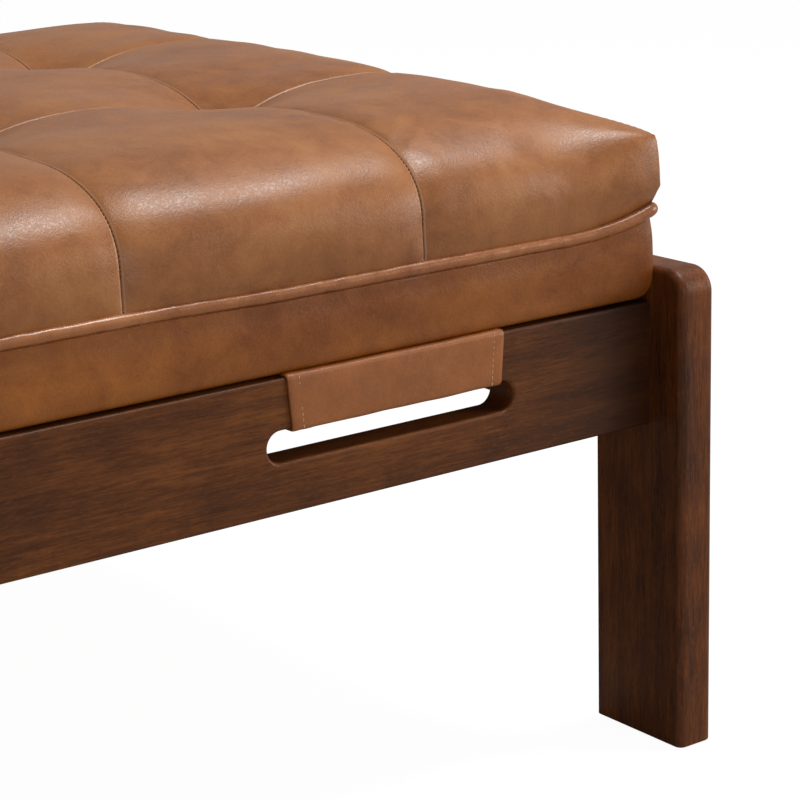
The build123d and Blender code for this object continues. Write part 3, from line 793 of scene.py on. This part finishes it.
path = outline_path(path_step)
rings = []
previous = None
for place, way, along, name in path:
    if previous is not None and np.linalg.norm(place - previous) < same_place:
        continue
    previous = place
    out = stand_out(along, piping_stand) - piping_inset
    centre = np.array([*(place + way * out), piping_z + float(lift(along))])
    thicker = 1 + 0.02 * math.sin(centre[0] * 0.11 + centre[1] * 0.17)
    radius = piping_radius * thicker + stand_out(along, piping_swell)
    for angle in np.linspace(0, 2 * math.pi, piping_sides + 1)[:-1]:
        rings.append(centre + radius * np.array([*(way * math.cos(angle)), math.sin(angle)]))
if np.linalg.norm(rings[0] - rings[-piping_sides]) < same_place:
    rings = rings[:-piping_sides]
points = np.array(rings)
faces = quads(len(rings) // piping_sides, piping_sides, True, True)[:, ::-1]
points += set_normals(points, faces) * (0.14 * ripple(points, 9.0, 11))[:, None]
piping = make_piece("piping_cord", points, faces, piping_leather)
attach(piping, "root")
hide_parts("piping")


# Side bands


def band_profile(rise):
    """Inset and height pairs down the outside of a band, from its top edge to the flange's inner edge."""
    top = piping_z - piping_radius + rise
    knots_z = np.array([top, top - 8, top - 16 - 0.3 * rise, *(band_foot_z + band_heights)])
    walked = np.concatenate([[0], np.cumsum(np.hypot(np.diff(knots_z), np.diff(band_insets)))])
    column = np.stack([band_insets, knots_z], -1)[:, None, :]
    curve = smooth_read(column, walked, np.linspace(0, walked[-1], band_points))[:, 0, :]
    turned_in = band_insets[-1]
    flange = np.array([[band_flange * s + turned_in * (1 - s), band_foot_z] for s in (0.4, 1.0)])
    return np.concatenate([curve, flange])


def side_spot(name, place, way, inset):
    """Plan point at an inset behind a place on one side's outline, kept on its own side of the mitres."""
    if inset <= plan_corner:
        return place - way * inset
    along, outward, half, other = side_ways[name]
    reach = half - inset
    return along * np.clip(place @ along, -reach, reach) + outward * (other - inset)


def band(name):
    """Points, quads and end faces of one side's band, with its ends at the mitres."""
    mine = [row for row in path if row[3] == name]
    total = len(mine)
    steps = [np.linalg.norm(b[0] - a[0]) for a, b in zip(mine, mine[1:])]
    walked = np.concatenate([[0], np.cumsum(steps)])
    pinch, pinch_reach = mitre_pinch
    rows = []
    for i, (place, way, along, _) in enumerate(mine):
        outer = band_profile(float(lift(along)))
        from_end = min(walked[i], walked[-1] - walked[i])
        shift = pinch * math.exp(-((from_end / pinch_reach) ** 2)) - stand_out(along, band_stand)
        step = np.gradient(outer, axis=0)
        step /= np.linalg.norm(step, axis=1, keepdims=True)
        inner = outer + np.stack([-step[:, 1], step[:, 0]], -1) * leather
        for inset, z in np.concatenate([outer, inner[::-1]]):
            own_shift = shift * float(eased((z - band_foot_z) / 10.0))
            rows.append([*side_spot(name, place, way, inset + own_shift), z])
    points = np.array(rows)
    columns = len(rows) // total
    faces = quads(total, columns, False, True)
    caps = [np.arange(columns), (np.arange(columns) + (total - 1) * columns)[::-1]]
    lean = set_normals(points, faces)
    soft = 0.7 * ripple(points, 95.0, 21) + 0.25 * ripple(points, 30.0, 23)
    height = points[:, 2]
    outer_half = np.tile(np.arange(columns) < columns // 2, total)
    over_foot = eased((height - band_foot_z - 1.5) / 12.0)
    under_piping = eased((band_top + 6 - height) / 10.0)
    keep = over_foot * under_piping * outer_half
    return points - lean * (soft * keep)[:, None], faces, caps


for name in side_ways:
    points, faces, caps = band(name)
    strip = make_piece(f"side_band_{name}", points, list(faces) + caps, band_leather)
    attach(strip, "root")
    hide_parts(f"band_{name}")


# Leather sleeves


def sleeve_section():
    """Points and outward ways round the bar, in Y and Z, with softly rounded edges."""
    centres = np.array([[1, 1], [-1, 1], [-1, -1], [1, -1]]) * (
        apron_thickness / 2 - sleeve_round,
        (bar_high - bar_low) / 2 - sleeve_round,
    )
    rows = []
    for quarter, centre in enumerate(centres):
        for angle in np.linspace(quarter * math.pi / 2, (quarter + 1) * math.pi / 2, 7):
            way = np.array([math.cos(angle), math.sin(angle)])
            rows.append((centre + way * sleeve_round, way))
        place, way = rows[-1]
        to_next = centres[(quarter + 1) % 4] - centre
        rows += [(place + to_next * share, way) for share in (0.2, 0.4, 0.6, 0.8)]
    return rows


def tapered(x, z):
    """Place across a sleeve, drawn in towards the foot of its bar."""
    return x * (1 + sleeve_taper * ((z - bar_low) / (bar_high - bar_low) - 0.5))


def stitch_line(x):
    """How far a sleeve stands out beside a row of stitches: drawn in on it, and puffed next to it."""
    away = min(abs(abs(x) - sleeve_side), 9.0)
    return 0.35 * math.exp(-(((away - 4.0) / 3.0) ** 2)) - 0.55 * math.exp(-((away / 1.2) ** 2))


def sleeve(end, side):
    """Points and quads of one sleeve: a closed sheet round the bar over a hand slot."""
    section = sleeve_section()
    middle_y = side * (apron_face - apron_thickness / 2)
    middle_z = (bar_low + bar_high) / 2
    inside, outside = sleeve_gap, sleeve_leather
    rim = ((0.0, inside), (0.0, outside - 0.7), (0.25, outside - 0.2), (0.8, outside))
    across = [(x - sleeve_half, out) for x, out in rim]
    across += [(x, outside) for x in np.linspace(-sleeve_half + 3, sleeve_half - 3, 44)]
    across += [(sleeve_half - x, out) for x, out in reversed(rim)]
    across += [(x, inside) for x in np.linspace(sleeve_half - 8, -sleeve_half + 8, 6)]
    rows = []
    for place, way in section:
        for x, out in across:
            spot = place + way * (out + (stitch_line(x) if out > inside else 0.0))
            z = middle_z + spot[1]
            rows.append([end * sleeve_x + tapered(x, z), middle_y + spot[0], z])
    points = np.array(rows)
    faces = quads(len(section), len(across), True, True)
    lean = set_normals(points, faces)
    outer = np.tile([out > 1.0 and abs(x) < sleeve_half - 1 for x, out in across], len(section))
    points = points + lean * (0.22 * ripple(points, 34.0, 31 + end + 3 * side) * outer)[:, None]
    return points, faces


def facing_out(points, faces):
    """Quads of a closed mesh, all turned over if they face in."""
    a, b, c, d = (points[faces[:, i]] for i in range(4))
    volume = (a * (np.cross(b, c) + np.cross(c, d))).sum()
    return faces if volume > 0 else faces[:, ::-1]


for side, side_name in zip(sides, ("front", "rear")):
    for end, end_name in zip(sides, ("left", "right")):
        points, faces = sleeve(end, side)
        faces = facing_out(points, faces)
        wrap = make_piece(f"sleeve_{side_name}_{end_name}", points, faces, sleeve_finish)
        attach(wrap, "root")
        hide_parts(f"handle_sleeve_{side_name}_{end_name}")


# Stitches


def stitch_tree(name):
    """Geometry nodes that lay short rounded stitches along the edges of a line mesh."""
    tree = bpy.data.node_groups.new(name, "GeometryNodeTree")
    for label, kind in (
        ("Geometry", "Geometry"),
        ("Pitch", "Float"),
        ("Stitch Length", "Float"),
        ("Thread Radius", "Float"),
        ("Thread", "Material"),
        ("Seed", "Int"),
    ):
        tree.interface.new_socket(label, in_out="INPUT", socket_type=f"NodeSocket{kind}")
    tree.interface.new_socket("Geometry", in_out="OUTPUT", socket_type="NodeSocketGeometry")

    def add(kind, values=None, **settings):
        """New node, with settings and values by socket; its first output comes back."""
        node = tree.nodes.new(kind)
        for key, setting in settings.items():
            setattr(node, key, setting)
        for key, value in (values or {}).items():
            if isinstance(value, bpy.types.NodeSocket):
                tree.links.new(value, node.inputs[key])
            else:
                node.inputs[key].default_value = value
        return node.outputs[0] if node.outputs else None

    given = tree.nodes.new("NodeGroupInput").outputs
    radius, pitch = given["Thread Radius"], given["Pitch"]
    line = add("GeometryNodeMeshToCurve", {"Mesh": given["Geometry"]})
    spaced = add("GeometryNodeResampleCurve", {"Curve": line, "Length": pitch}, mode="LENGTH")
    bead = add("GeometryNodeMeshUVSphere", {"Segments": 6, "Rings": 5, "Radius": 1.0})
    half = add("ShaderNodeMath", {0: given["Stitch Length"], 1: 0.5}, operation="MULTIPLY")
    size = add("ShaderNodeCombineXYZ", {0: radius, 1: radius, 2: half})
    shaped = add("GeometryNodeTransform", {"Geometry": bead, "Scale": size})
    tangent = add("GeometryNodeInputTangent")
    turned = add("FunctionNodeAlignRotationToVector", {"Vector": tangent}, axis="Z")
    extent = {"Min": (0.9, 0.9, 0.86), "Max": (1.1, 1.1, 1.06), "Seed": given["Seed"]}
    varied = add("FunctionNodeRandomValue", extent, data_type="FLOAT_VECTOR")
    beads = {"Points": spaced, "Instance": shaped, "Rotation": turned, "Scale": varied}
    laid = add("GeometryNodeInstanceOnPoints", beads)
    real = add("GeometryNodeRealizeInstances", {"Geometry": laid})
    dyed = add("GeometryNodeSetMaterial", {"Geometry": real, "Material": given["Thread"]})
    add("NodeGroupOutput", {0: dyed})
    return tree


stitching = stitch_tree("stitching")


def sew(name, runs, pitch, length, radius, finish, seed):
    """Stitches along runs of points in millimetres, as one plain mesh."""
    points, edges = [], []
    for run in runs:
        start = len(points)
        points += [tuple(p) for p in run]
        edges += [(start + i, start + i + 1) for i in range(len(run) - 1)]
    mesh = bpy.data.meshes.new(name)
    mesh.from_pydata((np.array(points) * MM).tolist(), edges, [])
    line = bpy.data.objects.new(name + "_line", mesh)
    bpy.context.scene.collection.objects.link(line)
    modifier = line.modifiers.new("Stitches", "NODES")
    modifier.node_group = stitching
    sockets = {s.name: s.identifier for s in stitching.interface.items_tree if s.in_out == "INPUT"}
    for label, value in (
        ("Pitch", pitch * MM),
        ("Stitch Length", length * MM),
        ("Thread Radius", radius * MM),
        ("Thread", finish),
        ("Seed", seed),
    ):
        modifier[sockets[label]] = value
    scene_view = bpy.context.evaluated_depsgraph_get()
    made = bpy.data.meshes.new_from_object(line.evaluated_get(scene_view))
    bpy.data.objects.remove(line)
    made.name = name
    made.shade_smooth()
    piece = bpy.data.objects.new(name, made)
    bpy.context.scene.collection.objects.link(piece)
    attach(piece, "root")
    return piece


def top_run(x=None, y=None):
    """Points just over a seam of the finished top, which is at one X or at one Y."""
    count = len(cushion_top.data.vertices)
    co, way = np.empty(count * 3), np.empty(count * 3)
    cushion_top.data.vertices.foreach_get("co", co)
    cushion_top.data.vertex_normals.foreach_get("vector", way)
    over = (co / MM + way * stitch_height).reshape(-1, 3)[: len(xs) * len(ys)]
    over = over.reshape(len(ys), len(xs), 3)
    if x is None:
        return over[np.argmin(np.abs(ys - y))]
    return over[:, np.argmin(np.abs(xs - x))]


seam_runs = [top_run(x=x) for x in seam_xs] + [top_run(y=y) for y in seam_ys]
seam_stitches = sew(
    "top_seam_stitches", seam_runs, pitch=3.1, length=2.0, radius=0.46, finish=seam_thread, seed=4
)

down = np.linspace(bar_high - 0.5, bar_low + 0.5, 30)
stitch_y = apron_face + sleeve_leather - 0.05
sleeve_runs = [
    [(end * sleeve_x + tapered(hand * sleeve_side, z), side * stitch_y, z) for z in down]
    for end in sides
    for side in sides
    for hand in sides
]
sleeve_stitches = sew(
    "sleeve_stitches", sleeve_runs, pitch=4.0, length=2.9, radius=0.42, finish=pale_thread, seed=9
)


# Floor, light and camera

studio = bpy.context.scene


def sweep_floor():
    """Floor that is near white to the camera, and pale where it throws light on the table."""
    f = Finish("pale_floor")
    rays = f.ray_kinds()
    shown = rays["Is Camera Ray"].larger(rays["Is Transmission Ray"])
    matt = f.node("ShaderNodeBsdfDiffuse", {}, {"Color": (0.5, 0.5, 0.49, 1.0)})[0]
    dim = f.node("ShaderNodeBsdfDiffuse", {}, {"Color": (0.12, 0.12, 0.12, 1.0)})[0]
    glow = f.node("ShaderNodeEmission", {}, {"Color": (1, 1, 1, 1), "Strength": 0.96})[0]
    bright = f.node("ShaderNodeAddShader", {}, {0: dim, 1: glow})[0]
    out = f.node("ShaderNodeMixShader", {}, {0: shown, 1: matt, 2: bright})[0]
    f.node("ShaderNodeOutputMaterial", {}, {"Surface": out})
    size = 6.0
    mesh = bpy.data.meshes.new("studio_floor")
    corners = [(-size, -size, 0), (size, -size, 0), (size, size, 0), (-size, size, 0)]
    mesh.from_pydata(corners, [], [(0, 1, 2, 3)])
    mesh.materials.append(f.owner)
    floor = bpy.data.objects.new("studio_floor", mesh)
    studio.collection.objects.link(floor)


def studio_world(strength, sheen_share):
    """Dim world that is white to the camera, and white by a share in reflections."""
    f = Finish("studio_world", bpy.data.worlds)
    rays = f.ray_kinds()
    shown = rays["Is Camera Ray"].larger(rays["Is Transmission Ray"])
    shown = shown.larger(rays["Is Glossy Ray"] * sheen_share)
    sky = (1.0, 0.99, 0.98, 1.0)
    lit = f.node("ShaderNodeBackground", {}, {"Color": sky, "Strength": strength})[0]
    white = f.node("ShaderNodeBackground", {}, {"Color": (1, 1, 1, 1), "Strength": 1.0})[0]
    out = f.node("ShaderNodeMixShader", {}, {0: shown, 1: lit, 2: white})[0]
    f.node("ShaderNodeOutputWorld", {}, {"Surface": out})
    studio.world = f.owner


def soft_box(name, place, target, size, power):
    """Large soft lamp of the studio."""
    lamp = bpy.data.lights.new(name, "AREA")
    lamp.shape = "RECTANGLE"
    lamp.size, lamp.size_y = size
    lamp.energy = power
    lamp.color = (1.0, 0.98, 0.95)
    holder = bpy.data.objects.new(name, lamp)
    holder.location = place
    holder.rotation_euler = (Vector(target) - Vector(place)).to_track_quat("-Z", "Y").to_euler()
    studio.collection.objects.link(holder)


sweep_floor()
studio_world(strength=0.2, sheen_share=0.3)
soft_box("key_light", (1.2, -0.6, 2.5), (0.1, -0.1, 0.4), (0.9, 0.6), 43.0)
soft_box("right_light", (2.9, -1.7, 1.0), (0.2, -0.3, 0.35), (1.4, 1.2), 34.0)
soft_box("front_light", (-0.2, -3.0, 0.8), (0.0, -0.3, 0.35), (1.4, 1.0), 13.0)

# Camera of the photograph, as fitted to its straight edges

lens = bpy.data.cameras.new("photo_lens")
lens.sensor_width = 36.0
lens.lens = 114.076
lens.clip_start, lens.clip_end = 0.05, 50.0
camera = bpy.data.objects.new("photo_camera", lens)
camera_place = (-0.62827, -1.61611, 0.7264)
yaw, pitch, tilt = 0.6407137562734654, 0.2678866074412611, -0.026079032407466857
ahead = Vector((math.sin(yaw) * math.cos(pitch), math.cos(yaw) * math.cos(pitch), -math.sin(pitch)))
level = Vector((math.cos(yaw), -math.sin(yaw), 0))
upward = level.cross(ahead)
right = level * math.cos(tilt) + upward * math.sin(tilt)
up = upward * math.cos(tilt) - level * math.sin(tilt)
turned = Matrix((right, up, -ahead)).transposed().to_4x4()
camera.matrix_world = Matrix.Translation(camera_place) @ turned
studio.collection.objects.link(camera)
studio.camera = camera
studio.view_settings.view_transform = "Standard"
